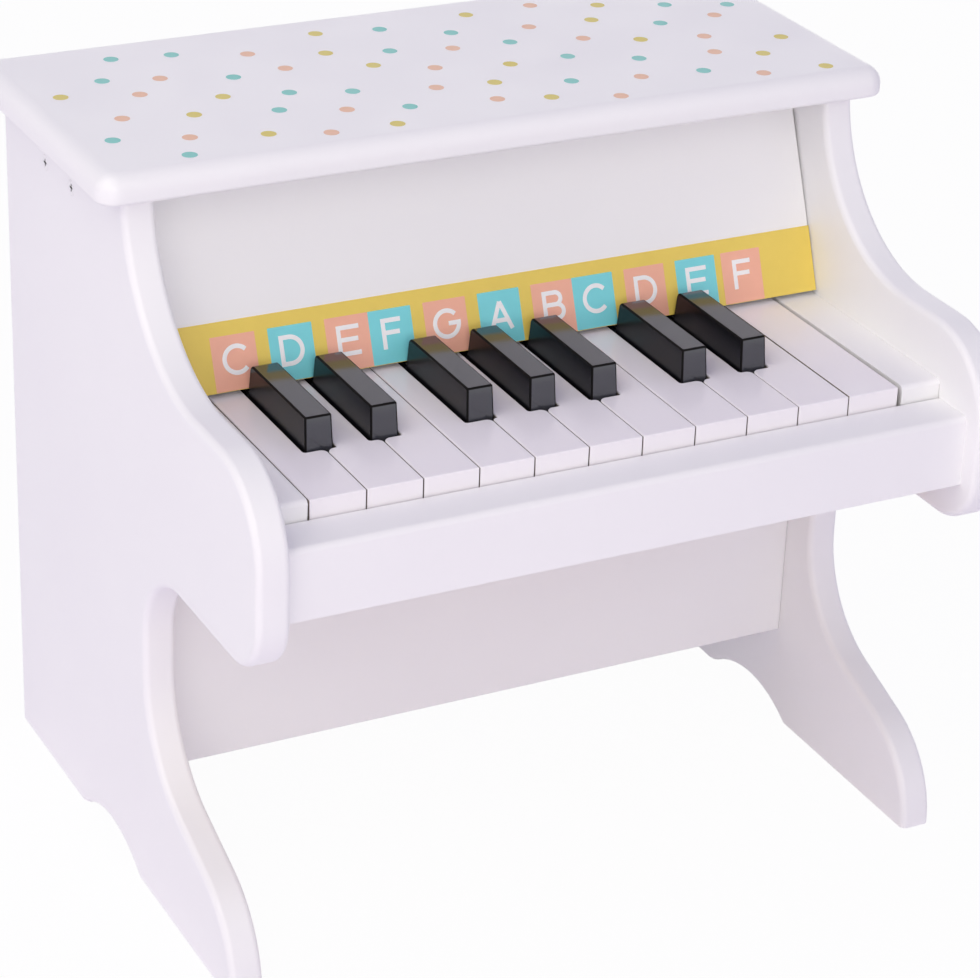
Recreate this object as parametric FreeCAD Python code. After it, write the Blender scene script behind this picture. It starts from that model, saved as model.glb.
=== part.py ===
import FreeCAD, Part
import math
import os

# Wooden toy upright piano. Millimetres, +Z up. The player sits at -Y and the bass keys are at -X.
# The origin is on the floor, under the middle of the whole object.

os.makedirs("parts", exist_ok=True)

# Keyboard, measured back from the fronts of the white keys
WHITES_PER_OCTAVE = 7
SEMITONES_PER_OCTAVE = 12
KEY_PITCH = 20.5
KEY_GAP = 0.45
KEY_THICKNESS = 11.0
KEY_LENGTH = 158.0
KEY_DIP_DEG = 3.0
PIVOT_REACH = 111.0
PIVOT_ROD_R = 2.0
BLACK_WIDTH = 10.3
BLACK_HEIGHT = 11.5
BLACK_SETBACK = 33.4
BLACK_BACK_GAP = 0.5
BLACK_SIDE_TAPER = 0.3
BLACK_END_TAPER = 1.2
BLACK_REAR_ROUND = 2.2
NOTCH_CLEARANCE = 0.9
NOTCH_INNER_ROUND = 1.0
NOTCH_OUTER_ROUND = 2.5
LEVER_STEP = 10.0
LEVER_SHIFT = 0.6

# Case boards
BOARD = 12.0
EDGE_ROUND = 2.5
NOSE_REACH = 26.0
TOE_REACH = 6.0
LEG_SETBACK = 72.3
NECK_SETBACK = 88.0
ARCH_SETBACK = 82.8
ARCH_LENGTH = 50.8
ARCH_RISE = 7.4
TOE_Z = 27.0
KNEE_Z = 56.0
TOE_RADIUS = 39.0
KNEE_RADIUS = 44.0
NOTCH_RADIUS = 32.0
NOSE_BOTTOM_RADIUS = 21.0
NOSE_TOP_RADIUS = 33.0
NECK_LEAN = 7.0
NECK_RADIUS = 60.0
ARM_RISE = 21.2
ARM_DROP = 16.9

LID_THICKNESS = 10.5
LID_SIDE_OVERHANG = 9.7
LID_FRONT_OVERHANG = 8.0
LID_TOP_ROUND = 6.6
LID_BOTTOM_ROUND = 1.5
LID_BACK_ROUND = 1.0
LID_CORNER_EXTRA = 0.8

SLIP_BOTTOM_Z = 150.3
SLIP_HEIGHT = 26.2
SLIP_DEPTH = 17.3
SLIP_GAP = 0.8
SLIP_ROUND = 2.2
KEY_RISE = 6.8
UPPER_HEIGHT = 75.7
BLOCK_WIDTH = 16.35
BLOCK_GAP = 0.9
BLOCK_BACK = 14.0
BLOCK_ROUND = 2.0

PANEL_THICKNESS = 6.0
PANEL_SLOPE_DEG = 21.4
PANEL_SETBACK = 82.3
PANEL_CLEARANCE = 1.9
STRIP_THICKNESS = 0.3
STRIP_HEIGHT = 24.1
STRIP_END_GAP = 0.5

BED_THICKNESS = 8.0
LOWER_PANEL_SETBACK = 88.3
LOWER_PANEL_THICKNESS = 8.0
LOWER_PANEL_Z = 37.8
BOTTOM_THICKNESS = 6.0
BACK_THICKNESS = 4.5
BACK_SPACE = 9.75
CLEAT = 8.0

# Key rails, felts and guide pins
FELT = 2.4
FELT_WIDTH = 9.0
RAIL_WIDTH = 12.0
REAR_RAIL_WIDTH = 17.0
FRONT_RAIL_SETBACK = 10.0
REAR_RAIL_INSET = 4.0
PIN_R = 0.8
PIN_GAP = 0.48
PIN_SEAT_SHARE = 0.62
PIN_HEIGHT = 10.0
PIN_INSET = 3.5

# Hammers and tone rods
MOVING_GAP = 0.3
RUNNING_GAP = 0.05
HEEL_INSET = 2.5
HEEL_ARM = 9.0
HEEL_R = 2.0
HUB_R = 4.0
HUB_RISE = 4.6
HUB_GAP = 0.6
HAMMER_ROD_R = 1.5
HAMMER_WIDTH = 7.0
HAMMER_REACH = 27.0
SHANK = 3.0
HEAD_R = 3.5
HEAD_TAIL = 2.5
SPACER_R = 3.2
ROD_R = 1.2
ROD_REACH = 17.25
ROD_LONGEST = 140.0
ROD_SEAT = 12.0
TONE_BLOCK_DEPTH = 16.0
TONE_BLOCK_HEIGHT = 16.0
TONE_BLOCK_RAISE = 3.0
TONE_BLOCK_MARGIN = 9.0
BEAM_GAP = 4.7
BEAM_HEIGHT = 27.0
BLIND_DEPTH = 6.0

# Screws
SCREW_R = 1.4
SCREW_HEAD_R = 2.8
SCREW_HEAD = 2.0
SCREW_LENGTH = 28.0
SHORT_SCREW_LENGTH = 10.0
SIDE_SCREW_COUNT = 2
SCREW_CROSS_WIDTH = 0.7
SCREW_CROSS_LENGTH = 2.8
SCREW_CROSS_DEPTH = 1.0
BACK_SCREW_ROWS = 4
BACK_SCREW_MARGIN = 18.0
TONE_SCREW_COUNT = 3

# Working limits: lengths that count as nothing, how near an edge lies to its face, and the most of a wall
# that a round may take, or a rolled edge whose other side is nearly square
NO_LENGTH = 1e-6
ON_FACE = 1e-3
ROUND_SHARE = 0.4
ROLL_SHARE = 0.65

NOTES = ["c1", "cs1", "d1", "ds1", "e1", "f1", "fs1", "g1", "gs1", "a1", "as1", "b1",
         "c2", "cs2", "d2", "ds2", "e2", "f2"]
WHITE_NOTES = [note for note in NOTES if "s" not in note]

# Widths
keyboard_half = len(WHITE_NOTES) * KEY_PITCH / 2
keyboard_x = -keyboard_half
lever_x = keyboard_x + LEVER_SHIFT
semitone = WHITES_PER_OCTAVE * KEY_PITCH / SEMITONES_PER_OCTAVE
lever_width = semitone - 2 * (PIN_R + PIN_GAP)
block_x = keyboard_half + BLOCK_GAP
inner_half = block_x + BLOCK_WIDTH
outer_half = inner_half + BOARD
lid_half = outer_half + LID_SIDE_OVERHANG
rod_half = inner_half + BLIND_DEPTH

# Places from front to back
contact_reach = KEY_LENGTH - HEEL_INSET
hammer_reach = contact_reach + HEEL_ARM
rod_reach = hammer_reach + ROD_REACH
beam_back_reach = rod_reach - TONE_BLOCK_DEPTH / 2
tone_back_reach = rod_reach + TONE_BLOCK_DEPTH / 2
depth = NOSE_REACH + tone_back_reach + BACK_SPACE + BACK_THICKNESS
nose_y = -depth / 2
back_y = depth / 2
key_y = nose_y + NOSE_REACH
key_end_y = key_y + KEY_LENGTH
pivot_y = key_y + PIVOT_REACH
hammer_y = key_y + hammer_reach
rod_y = key_y + rod_reach
beam_back_y = key_y + beam_back_reach
tone_back_y = key_y + tone_back_reach
back_inner_y = back_y - BACK_THICKNESS
neck_y = key_y + NECK_SETBACK
lid_front_y = neck_y - LID_FRONT_OVERHANG
slip_back_y = key_y - SLIP_GAP
slip_front_y = slip_back_y - SLIP_DEPTH
panel_y = key_y + PANEL_SETBACK
lever_y = panel_y + LEVER_STEP
bed_back_y = beam_back_y

# Heights
slip_top = SLIP_BOTTOM_Z + SLIP_HEIGHT
bed_top = SLIP_BOTTOM_Z + BED_THICKNESS
key_top = slip_top + KEY_RISE
key_bottom = key_top - KEY_THICKNESS
pivot_z = key_top - KEY_THICKNESS / 2
arm_top = key_top + ARM_RISE
arm_bottom = SLIP_BOTTOM_Z - ARM_DROP
lid_bottom = key_top + UPPER_HEIGHT
lid_top = lid_bottom + LID_THICKNESS
panel_bottom = key_top + PANEL_CLEARANCE
hammer_z = key_top + MOVING_GAP + HUB_RISE
beam_bottom = lid_bottom - BEAM_HEIGHT
beam_z = beam_bottom + BEAM_HEIGHT / 2
tone_bottom = beam_bottom + TONE_BLOCK_RAISE

# The slanted panel, and the beam behind its upper edge
slope = math.radians(PANEL_SLOPE_DEG)
panel_level = PANEL_THICKNESS / math.cos(slope)
panel_back_y = panel_y + (lid_bottom - panel_bottom) * math.tan(slope) + panel_level
beam_front_y = panel_back_y + BEAM_GAP

# Motion: a key's tail lifts the heel of its hammer, which swings back towards its tone rod
key_dip = math.radians(KEY_DIP_DEG)
tail_arm = contact_reach - PIVOT_REACH
hammer_ratio = tail_arm / HEEL_ARM
hammer_swing = key_dip * hammer_ratio


def note_x(index):
    """Middle of a key's rear lever: all eighteen are one semitone step apart."""
    return lever_x + (index + 0.5) * semitone


def box(x0, x1, y0, y1, z0, z1):
    return Part.makeBox(x1 - x0, y1 - y0, z1 - z0, FreeCAD.Vector(x0, y0, z0))


def cylinder(radius, start, end):
    """Round bar between two points."""
    start = FreeCAD.Vector(*start)
    along = FreeCAD.Vector(*end) - start
    return Part.makeCylinder(radius, along.Length, start, along)


def rounded_wire(corners, place):
    """Closed outline through corners (a, b, radius); a round is limited by the sides that it joins."""
    corners = [corner for i, corner in enumerate(corners)
               if math.dist(corner[:2], corners[i - 1][:2]) > NO_LENGTH]
    flat = [FreeCAD.Vector(a, b, 0) for a, b, radius in corners]
    count = len(flat)
    halves = []
    reaches = []
    for i in range(count):
        back = flat[i - 1] - flat[i]
        ahead = flat[(i + 1) % count] - flat[i]
        halves.append(back.getAngle(ahead) / 2)
        reaches.append(corners[i][2] / math.tan(halves[i]))
    limits = []
    for i in range(count):
        side = (flat[i] - flat[i - 1]).Length
        limits.append(side / max(side, reaches[i - 1] + reaches[i]))
    edges = []
    last = None
    first = None
    for i in range(count):
        reach = reaches[i] * min(limits[i], limits[(i + 1) % count])
        back = (flat[i - 1] - flat[i]).normalize()
        ahead = (flat[(i + 1) % count] - flat[i]).normalize()
        start = flat[i] + back * reach
        end = flat[i] + ahead * reach
        if last is not None and (start - last).Length > NO_LENGTH:
            edges.append(Part.LineSegment(place(last), place(start)).toShape())
        if reach > NO_LENGTH:
            radius = reach * math.tan(halves[i])
            middle = flat[i] + (back + ahead).normalize() * (radius / math.sin(halves[i]) - radius)
            edges.append(Part.Arc(place(start), place(middle), place(end)).toShape())
        if first is None:
            first = start
        last = end
    if (first - last).Length > NO_LENGTH:
        edges.append(Part.LineSegment(place(last), place(first)).toShape())
    return Part.Wire(edges)


def prism_x(corners, x0, x1):
    """Solid of a side-view outline (y, z, radius), from x0 to x1."""
    wire = rounded_wire(corners, lambda p: FreeCAD.Vector(x0, p.x, p.y))
    return Part.Face(wire).extrude(FreeCAD.Vector(x1 - x0, 0, 0))


def prism_z(corners, z0, z1):
    """Solid of a top-view outline (x, y, radius), from z0 to z1."""
    wire = rounded_wire(corners, lambda p: FreeCAD.Vector(p.x, p.y, z0))
    return Part.Face(wire).extrude(FreeCAD.Vector(0, 0, z1 - z0))


def round_edges(shape, radius, wall, chosen):
    """Rounds the chosen edges, by no more than the wall beside them allows."""
    edges = [edge for edge in shape.Edges if chosen(edge.BoundBox)]
    return shape.makeFillet(min(radius, ROUND_SHARE * wall), edges)


def save(name, solids):
    """Writes one piece, or a group of like pieces, to its own file."""
    shape = solids if isinstance(solids, Part.Shape) else Part.makeCompound(solids)
    shape.exportStep("parts/" + name + ".step")


# Screws: a flat head with a cross recess, sunk flush into the board that it holds

def screw(head, direction, length):
    """Screw whose head's face is at head and whose shank runs along direction."""
    head = FreeCAD.Vector(*head)
    along = FreeCAD.Vector(*direction)
    shank_start = head + along * SCREW_HEAD
    solid = Part.makeCylinder(SCREW_HEAD_R, SCREW_HEAD, head, along)
    solid = solid.fuse(Part.makeCylinder(SCREW_R, length, shank_start, along)).removeSplitter()
    turn = FreeCAD.Rotation(FreeCAD.Vector(0, 0, 1), along)
    slot_half = (SCREW_CROSS_WIDTH / 2, SCREW_CROSS_LENGTH / 2)
    for half_a, half_b in (slot_half, slot_half[::-1]):
        slot = box(-half_a, half_a, -half_b, half_b, 0, SCREW_CROSS_DEPTH)
        slot.Placement = FreeCAD.Placement(head, turn)
        solid = solid.cut(slot)
    return solid


def screw_hole(head, direction, length, gap):
    """Space that a screw needs, with a gap all round."""
    head = FreeCAD.Vector(*head)
    along = FreeCAD.Vector(*direction)
    sink = Part.makeCylinder(SCREW_HEAD_R + gap, SCREW_HEAD, head, along)
    return sink.fuse(Part.makeCylinder(SCREW_R + gap, SCREW_HEAD + length, head, along))


side_screws = []
for side in (-1, 1):
    for i in range(SIDE_SCREW_COUNT):
        y = beam_front_y + (beam_back_y - beam_front_y) * (i + 0.5) / SIDE_SCREW_COUNT
        side_screws.append(((side * outer_half, y, beam_z), (-side, 0, 0)))

back_screws = []
back_low = LOWER_PANEL_Z + BACK_SCREW_MARGIN
back_high = beam_bottom - BACK_SCREW_MARGIN
for side in (-1, 1):
    for row in range(BACK_SCREW_ROWS):
        z = back_low + (back_high - back_low) * row / (BACK_SCREW_ROWS - 1)
        back_screws.append(((side * (inner_half - CLEAT / 2), back_y, z), (0, -1, 0)))

tone_low_x = note_x(0) - TONE_BLOCK_MARGIN
tone_high_x = note_x(len(NOTES) - 1) + TONE_BLOCK_MARGIN
tone_screws = []
for i in range(TONE_SCREW_COUNT):
    share = (i + 0.5) / TONE_SCREW_COUNT
    x = note_x(round(share * (len(NOTES) - 1))) + semitone / 2
    tone_screws.append(((x, tone_back_y + SCREW_HEAD, tone_bottom + TONE_BLOCK_HEIGHT / 2), (0, -1, 0)))


# Case

arch_half = ARCH_LENGTH / 2
arch_angle = 2 * math.atan(ARCH_RISE / arch_half)
arch_y = key_y + ARCH_SETBACK + arch_half
side_outline = [
    (back_y, 0, 0),
    (arch_y + arch_half, 0, 0),
    (arch_y, arch_half * math.tan(arch_angle), arch_half / math.sin(arch_angle)),
    (arch_y - arch_half, 0, 0),
    (key_y - TOE_REACH, 0, 0),
    (key_y - TOE_REACH, TOE_Z, TOE_RADIUS),
    (key_y + LEG_SETBACK, KNEE_Z, KNEE_RADIUS),
    (key_y + LEG_SETBACK, arm_bottom, NOTCH_RADIUS),
    (nose_y, arm_bottom, NOSE_BOTTOM_RADIUS),
    (nose_y, arm_top, NOSE_TOP_RADIUS),
    (neck_y - NECK_LEAN, arm_top, NECK_RADIUS),
    (neck_y, lid_bottom, 0),
    (back_y, lid_bottom, 0),
]


def side_panel(side):
    """One board: back edge, neck, arm with its nose, sabre leg and arched base, edges rounded over."""
    x0, x1 = sorted((side * inner_half, side * outer_half))
    panel = prism_x(side_outline, x0, x1)
    panel = round_edges(panel, EDGE_ROUND, BOARD, lambda b: (
        b.XLength < ON_FACE and b.ZMax > ON_FACE and b.ZMin < lid_bottom - ON_FACE))
    for y, z, radius in ((pivot_y, pivot_z, PIVOT_ROD_R), (hammer_y, hammer_z, HAMMER_ROD_R)):
        panel = panel.cut(cylinder(radius, (side * inner_half, y, z), (side * rod_half, y, z)))
    for head, direction in side_screws:
        if head[0] * side > 0:
            panel = panel.cut(screw_hole(head, direction, SCREW_LENGTH, RUNNING_GAP))
    return panel


save("left_side_panel", side_panel(-1))
save("right_side_panel", side_panel(1))

# The lid's upper edge is rolled over at the front and the sides, and only eased at the back

lid_roll = min(LID_TOP_ROUND, ROLL_SHARE * LID_THICKNESS)
lid_ease = min(LID_BOTTOM_ROUND, ROUND_SHARE * (LID_THICKNESS - lid_roll))
lid = box(-lid_half, lid_half, lid_front_y, back_y, lid_bottom, lid_top)
lid = round_edges(lid, lid_roll + LID_CORNER_EXTRA, lid_half, lambda b: (
    b.ZLength > ON_FACE and b.YMax < lid_front_y + ON_FACE))
lid = round_edges(lid, lid_roll, lid_half, lambda b: (
    b.ZMin > lid_top - ON_FACE and b.YMin < back_y - ON_FACE))
lid = round_edges(lid, lid_ease, lid_half, lambda b: (
    b.ZMax < lid_bottom + ON_FACE and b.YMin < back_y - ON_FACE))
lid = round_edges(lid, LID_BACK_ROUND, 2 * lid_ease, lambda b: b.YMin > back_y - ON_FACE)
save("lid", lid)


def slanted(front, thickness, low, high):
    """Board that leans back by the panel's slope; front is its front face's place at the panel's foot."""
    face_low = front + (low - panel_bottom) * math.tan(slope)
    face_high = front + (high - panel_bottom) * math.tan(slope)
    level = thickness / math.cos(slope)
    return [(face_low, low, 0), (face_low + level, low, 0),
            (face_high + level, high, 0), (face_high, high, 0)]


save("upper_front_panel",
     prism_x(slanted(panel_y, PANEL_THICKNESS, panel_bottom, lid_bottom), -inner_half, inner_half))
strip_y = panel_y - STRIP_THICKNESS / math.cos(slope)
strip_top = panel_bottom + STRIP_HEIGHT * math.cos(slope)
strip_half = inner_half - STRIP_END_GAP
save("note_strip",
     prism_x(slanted(strip_y, STRIP_THICKNESS, panel_bottom, strip_top), -strip_half, strip_half))

slip = box(-inner_half, inner_half, slip_front_y, slip_back_y, SLIP_BOTTOM_Z, slip_top)
slip = round_edges(slip, SLIP_ROUND, min(SLIP_DEPTH, SLIP_HEIGHT), lambda b: (
    b.YMax < slip_front_y + ON_FACE and b.ZMin > slip_top - ON_FACE))
save("key_slip", slip)

save("key_bed", box(-inner_half, inner_half, slip_back_y, bed_back_y, SLIP_BOTTOM_Z, bed_top))
lower_y = key_y + LOWER_PANEL_SETBACK
save("lower_front_panel",
     box(-inner_half, inner_half, lower_y, lower_y + LOWER_PANEL_THICKNESS, LOWER_PANEL_Z, SLIP_BOTTOM_Z))

save("bottom_board", box(-inner_half, inner_half, lower_y + LOWER_PANEL_THICKNESS, back_inner_y,
                         LOWER_PANEL_Z, LOWER_PANEL_Z + BOTTOM_THICKNESS))

back_panel = box(-inner_half, inner_half, back_inner_y, back_y, LOWER_PANEL_Z, lid_bottom)
cleats = []
for side in (-1, 1):
    x0, x1 = sorted((side * (inner_half - CLEAT), side * inner_half))
    cleats.append(box(x0, x1, back_inner_y - CLEAT, back_inner_y,
                      LOWER_PANEL_Z + BOTTOM_THICKNESS, beam_bottom))
for head, direction in back_screws:
    back_panel = back_panel.cut(screw_hole(head, direction, SHORT_SCREW_LENGTH, RUNNING_GAP))
    hole = screw_hole(head, direction, SHORT_SCREW_LENGTH, 0)
    cleats = [cleat.cut(hole) for cleat in cleats]
save("back_panel", back_panel)
save("back_cleats", cleats)

for name, side in (("left_key_block", -1), ("right_key_block", 1)):
    x0, x1 = sorted((side * block_x, side * inner_half))
    block = box(x0, x1, key_y, pivot_y + BLOCK_BACK, bed_top, key_top)
    block = round_edges(block, BLOCK_ROUND, KEY_THICKNESS, lambda b: (
        b.YMax < key_y + ON_FACE and b.ZMin > key_top - ON_FACE))
    save(name, block.cut(cylinder(PIVOT_ROD_R, (x0, pivot_y, pivot_z), (x1, pivot_y, pivot_z))))

save("key_pivot_rod", cylinder(PIVOT_ROD_R, (-rod_half, pivot_y, pivot_z), (rod_half, pivot_y, pivot_z)))
save("wood_screws", [screw(head, direction, SCREW_LENGTH) for head, direction in side_screws + tone_screws]
     + [screw(head, direction, SHORT_SCREW_LENGTH) for head, direction in back_screws])


# Key rails: the front felt stops a pressed key, the rear felt carries the tails at rest

front_rail_y = key_y + FRONT_RAIL_SETBACK
front_drop = (pivot_y - front_rail_y) * math.sin(key_dip)
front_felt_top = key_bottom - front_drop - MOVING_GAP
rear_rail_back = key_end_y - REAR_RAIL_INSET
rear_rail_front = rear_rail_back - REAR_RAIL_WIDTH
rear_felt_top = key_bottom - MOVING_GAP

save("front_key_rail", box(-keyboard_half, keyboard_half, front_rail_y, front_rail_y + RAIL_WIDTH,
                           bed_top, front_felt_top - FELT))
rear_rail = box(-keyboard_half, keyboard_half, rear_rail_front, rear_rail_back, bed_top, rear_felt_top - FELT)
save("key_felts", [
    box(-keyboard_half, keyboard_half, front_y, front_y + FELT_WIDTH, top - FELT, top)
    for front_y, top in ((front_rail_y, front_felt_top), (rear_rail_front, rear_felt_top))
])
pin_y = rear_rail_back - PIN_INSET
pin_foot = rear_felt_top - FELT
pin_end = pin_foot - PIN_SEAT_SHARE * (pin_foot - bed_top)
pins = []
for i in range(len(NOTES) + 1):
    x = lever_x + i * semitone
    pin = cylinder(PIN_R, (x, pin_y, pin_end), (x, pin_y, pin_foot + PIN_HEIGHT))
    pins.append(pin)
    rear_rail = rear_rail.cut(pin)
save("key_guide_pins", pins)
save("rear_key_rail", rear_rail)


# Keys: every key ends in a narrow lever on the pivot rod

pivot_hole = cylinder(PIVOT_ROD_R + RUNNING_GAP,
                      (-keyboard_half, pivot_y, pivot_z), (keyboard_half, pivot_y, pivot_z))
black_y = key_y + BLACK_SETBACK
notch_y = black_y - NOTCH_CLEARANCE
notch_half = BLACK_WIDTH / 2 + NOTCH_CLEARANCE
black_back_y = strip_y - BLACK_BACK_GAP


def white_key(index, white_index):
    """White key with a notch beside each black neighbour."""
    left = keyboard_x + white_index * KEY_PITCH + KEY_GAP / 2
    right = left + KEY_PITCH - KEY_GAP
    lever_left = max(left, note_x(index) - lever_width / 2)
    lever_right = min(right, note_x(index) + lever_width / 2)
    outline = [(left, key_y, 0), (right, key_y, 0)]
    tail_right = right
    tail_left = left
    if index + 1 < len(NOTES) and "s" in NOTES[index + 1]:
        tail_right = note_x(index + 1) - notch_half
        outline += [(right, notch_y, NOTCH_OUTER_ROUND), (tail_right, notch_y, NOTCH_INNER_ROUND)]
    outline += [(tail_right, lever_y, 0), (lever_right, lever_y, 0), (lever_right, key_end_y, 0),
                (lever_left, key_end_y, 0), (lever_left, lever_y, 0)]
    if index > 0 and "s" in NOTES[index - 1]:
        tail_left = note_x(index - 1) + notch_half
        outline += [(tail_left, lever_y, 0), (tail_left, notch_y, NOTCH_INNER_ROUND),
                    (left, notch_y, NOTCH_OUTER_ROUND)]
    else:
        outline += [(tail_left, lever_y, 0)]
    return prism_z(outline, key_bottom, key_top).cut(pivot_hole)


def rectangle(x0, x1, y0, y1, z):
    corners = [FreeCAD.Vector(x, y, z) for x, y in ((x0, y0), (x1, y0), (x1, y1), (x0, y1))]
    return Part.makePolygon(corners + corners[:1])


def black_key(index):
    """Black key: a raised cap that tapers upwards, on the front of its lever."""
    middle = note_x(index)
    foot_half = BLACK_WIDTH / 2
    top_half = foot_half - BLACK_SIDE_TAPER
    lever_half = lever_width / 2
    cap_top = key_top + BLACK_HEIGHT
    cap_back_y = black_back_y - BLACK_END_TAPER
    foot = box(middle - foot_half, middle + foot_half, black_y, black_back_y, key_bottom, key_top)
    cap = Part.makeLoft([
        rectangle(middle - foot_half, middle + foot_half, black_y, black_back_y, key_top),
        rectangle(middle - top_half, middle + top_half, black_y + BLACK_END_TAPER, cap_back_y, cap_top),
    ], True, True)
    cap = round_edges(cap, BLACK_REAR_ROUND, BLACK_HEIGHT, lambda b: (
        b.YMin > cap_back_y - ON_FACE and b.ZMin > cap_top - ON_FACE))
    lever = box(middle - lever_half, middle + lever_half, black_y, key_end_y, key_bottom, key_top)
    return foot.fuse(cap).fuse(lever).removeSplitter().cut(pivot_hole)


for index, note in enumerate(NOTES):
    if note in WHITE_NOTES:
        save("white_key_" + note, white_key(index, WHITE_NOTES.index(note)))
    else:
        save("black_key_" + note, black_key(index))


# Hammers: a hub on the hammer rod, a heel over the key's tail, a shank and a round-nosed head

head_offset = ((ROD_REACH - ROD_R - MOVING_GAP - HEAD_R - HAMMER_REACH * math.sin(hammer_swing))
               / math.cos(hammer_swing))
heel_drop = HUB_RISE - HEEL_R
hub_half = (semitone - HUB_GAP) / 2


def bar_outline(y0, z0, y1, z1, thickness):
    """Corners of a straight bar between two points, in the side view."""
    along = FreeCAD.Vector(y1 - y0, z1 - z0, 0).normalize()
    side_y = -along.y * thickness / 2
    side_z = along.x * thickness / 2
    return [(y0 + side_y, z0 + side_z, 0), (y0 - side_y, z0 - side_z, 0),
            (y1 - side_y, z1 - side_z, 0), (y1 + side_y, z1 + side_z, 0)]


def hammer(index):
    """One hammer, at rest just above its key's tail."""
    middle = note_x(index)
    x0 = middle - HAMMER_WIDTH / 2
    x1 = middle + HAMMER_WIDTH / 2
    heel_y = hammer_y - HEEL_ARM
    heel_z = hammer_z - heel_drop
    head_y = hammer_y + head_offset
    head_z = hammer_z + HAMMER_REACH
    solid = cylinder(HUB_R,
                     (middle - hub_half, hammer_y, hammer_z), (middle + hub_half, hammer_y, hammer_z))
    for piece in (
        cylinder(HEEL_R, (x0, heel_y, heel_z), (x1, heel_y, heel_z)),
        prism_x(bar_outline(heel_y, heel_z, hammer_y, hammer_z, SHANK), x0, x1),
        prism_x(bar_outline(hammer_y, hammer_z, hammer_y, head_z, SHANK), x0, x1),
        box(x0, x1, min(hammer_y, head_y) - HEAD_TAIL, head_y, head_z - HEAD_R, head_z + HEAD_R),
        cylinder(HEAD_R, (x0, head_y, head_z), (x1, head_y, head_z)),
    ):
        solid = solid.fuse(piece)
    bore = cylinder(HAMMER_ROD_R + RUNNING_GAP,
                    (middle - semitone, hammer_y, hammer_z), (middle + semitone, hammer_y, hammer_z))
    return solid.removeSplitter().cut(bore)


for index, note in enumerate(NOTES):
    save("hammer_" + note, hammer(index))

save("hammer_pivot_rod",
     cylinder(HAMMER_ROD_R, (-rod_half, hammer_y, hammer_z), (rod_half, hammer_y, hammer_z)))
row_left = note_x(0) - hub_half - MOVING_GAP
row_right = note_x(len(NOTES) - 1) + hub_half + MOVING_GAP
spacers = []
for x0, x1 in ((-inner_half, row_left), (row_right, inner_half)):
    tube = cylinder(SPACER_R, (x0, hammer_y, hammer_z), (x1, hammer_y, hammer_z))
    spacers.append(tube.cut(cylinder(HAMMER_ROD_R, (x0, hammer_y, hammer_z), (x1, hammer_y, hammer_z))))
save("hammer_spacers", spacers)


# Tone rods: they hang from a heavy bar on the beam under the lid. A rod's pitch goes with the inverse
# square of its free length, so one octave up is shorter by the square root of two

beam = box(-inner_half, inner_half, beam_front_y, beam_back_y, beam_bottom, lid_bottom)
tone_block = box(tone_low_x, tone_high_x, beam_back_y, tone_back_y,
                 tone_bottom, tone_bottom + TONE_BLOCK_HEIGHT)
for head, direction in side_screws + tone_screws:
    beam = beam.cut(screw_hole(head, direction, SCREW_LENGTH, 0))
for head, direction in tone_screws:
    tone_block = tone_block.cut(screw_hole(head, direction, SCREW_LENGTH, RUNNING_GAP))
rods = []
for index in range(len(NOTES)):
    x = note_x(index)
    length = ROD_LONGEST * 2 ** (-index / SEMITONES_PER_OCTAVE / 2)
    rods.append(cylinder(ROD_R, (x, rod_y, tone_bottom - length), (x, rod_y, tone_bottom + ROD_SEAT)))
    tone_block = tone_block.cut(rods[-1])
save("tone_beam", beam)
save("tone_block", tone_block)
save("tone_rods", rods)

print("outside %.1f wide, %.1f deep, %.1f high" % (2 * lid_half, depth, lid_top))
print("hammer ratio %.4f, swing %.2f degrees" % (hammer_ratio, math.degrees(hammer_swing)))
print("key pivot y %.3f z %.3f, hammer pivot y %.3f z %.3f" % (pivot_y, pivot_z, hammer_y, hammer_z))
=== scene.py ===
"""A white wooden toy piano, dressed over its frame: boards, keys, note strip, dotted lid and the action inside."""

import math
import random

import bpy
from bpy.props import FloatProperty, FloatVectorProperty, IntProperty, PointerProperty
from mathutils import Matrix, Vector


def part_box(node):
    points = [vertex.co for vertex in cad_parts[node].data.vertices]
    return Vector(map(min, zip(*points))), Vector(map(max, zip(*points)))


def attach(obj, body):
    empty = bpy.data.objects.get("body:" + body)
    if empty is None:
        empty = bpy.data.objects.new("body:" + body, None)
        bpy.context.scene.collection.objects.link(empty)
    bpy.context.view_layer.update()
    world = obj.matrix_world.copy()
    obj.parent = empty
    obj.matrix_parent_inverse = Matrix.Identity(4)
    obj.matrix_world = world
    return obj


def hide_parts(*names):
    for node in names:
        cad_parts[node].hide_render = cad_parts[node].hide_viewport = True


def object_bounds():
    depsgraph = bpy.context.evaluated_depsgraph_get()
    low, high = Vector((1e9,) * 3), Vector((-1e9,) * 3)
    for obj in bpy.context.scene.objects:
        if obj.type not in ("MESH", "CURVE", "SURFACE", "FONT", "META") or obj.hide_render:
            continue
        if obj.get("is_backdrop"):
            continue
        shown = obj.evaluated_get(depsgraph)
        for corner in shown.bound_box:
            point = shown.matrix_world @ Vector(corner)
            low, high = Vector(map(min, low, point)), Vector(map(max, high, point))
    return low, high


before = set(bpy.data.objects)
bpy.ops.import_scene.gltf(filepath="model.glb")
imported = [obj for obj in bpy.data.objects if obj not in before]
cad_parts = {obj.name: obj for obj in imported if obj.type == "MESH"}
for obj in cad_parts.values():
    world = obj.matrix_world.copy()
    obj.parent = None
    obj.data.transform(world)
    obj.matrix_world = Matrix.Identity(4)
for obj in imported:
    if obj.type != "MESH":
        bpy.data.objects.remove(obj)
cad_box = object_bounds()

bl_info = {
    "name": "Toy piano",
    "version": (1, 0, 0),
    "blender": (4, 5, 0),
    "location": "View3D > Sidebar > Toy piano",
    "description": "Dresses a wooden toy piano with its boards, keys, note strip, lid dots and action",
    "category": "Object",
}

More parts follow.
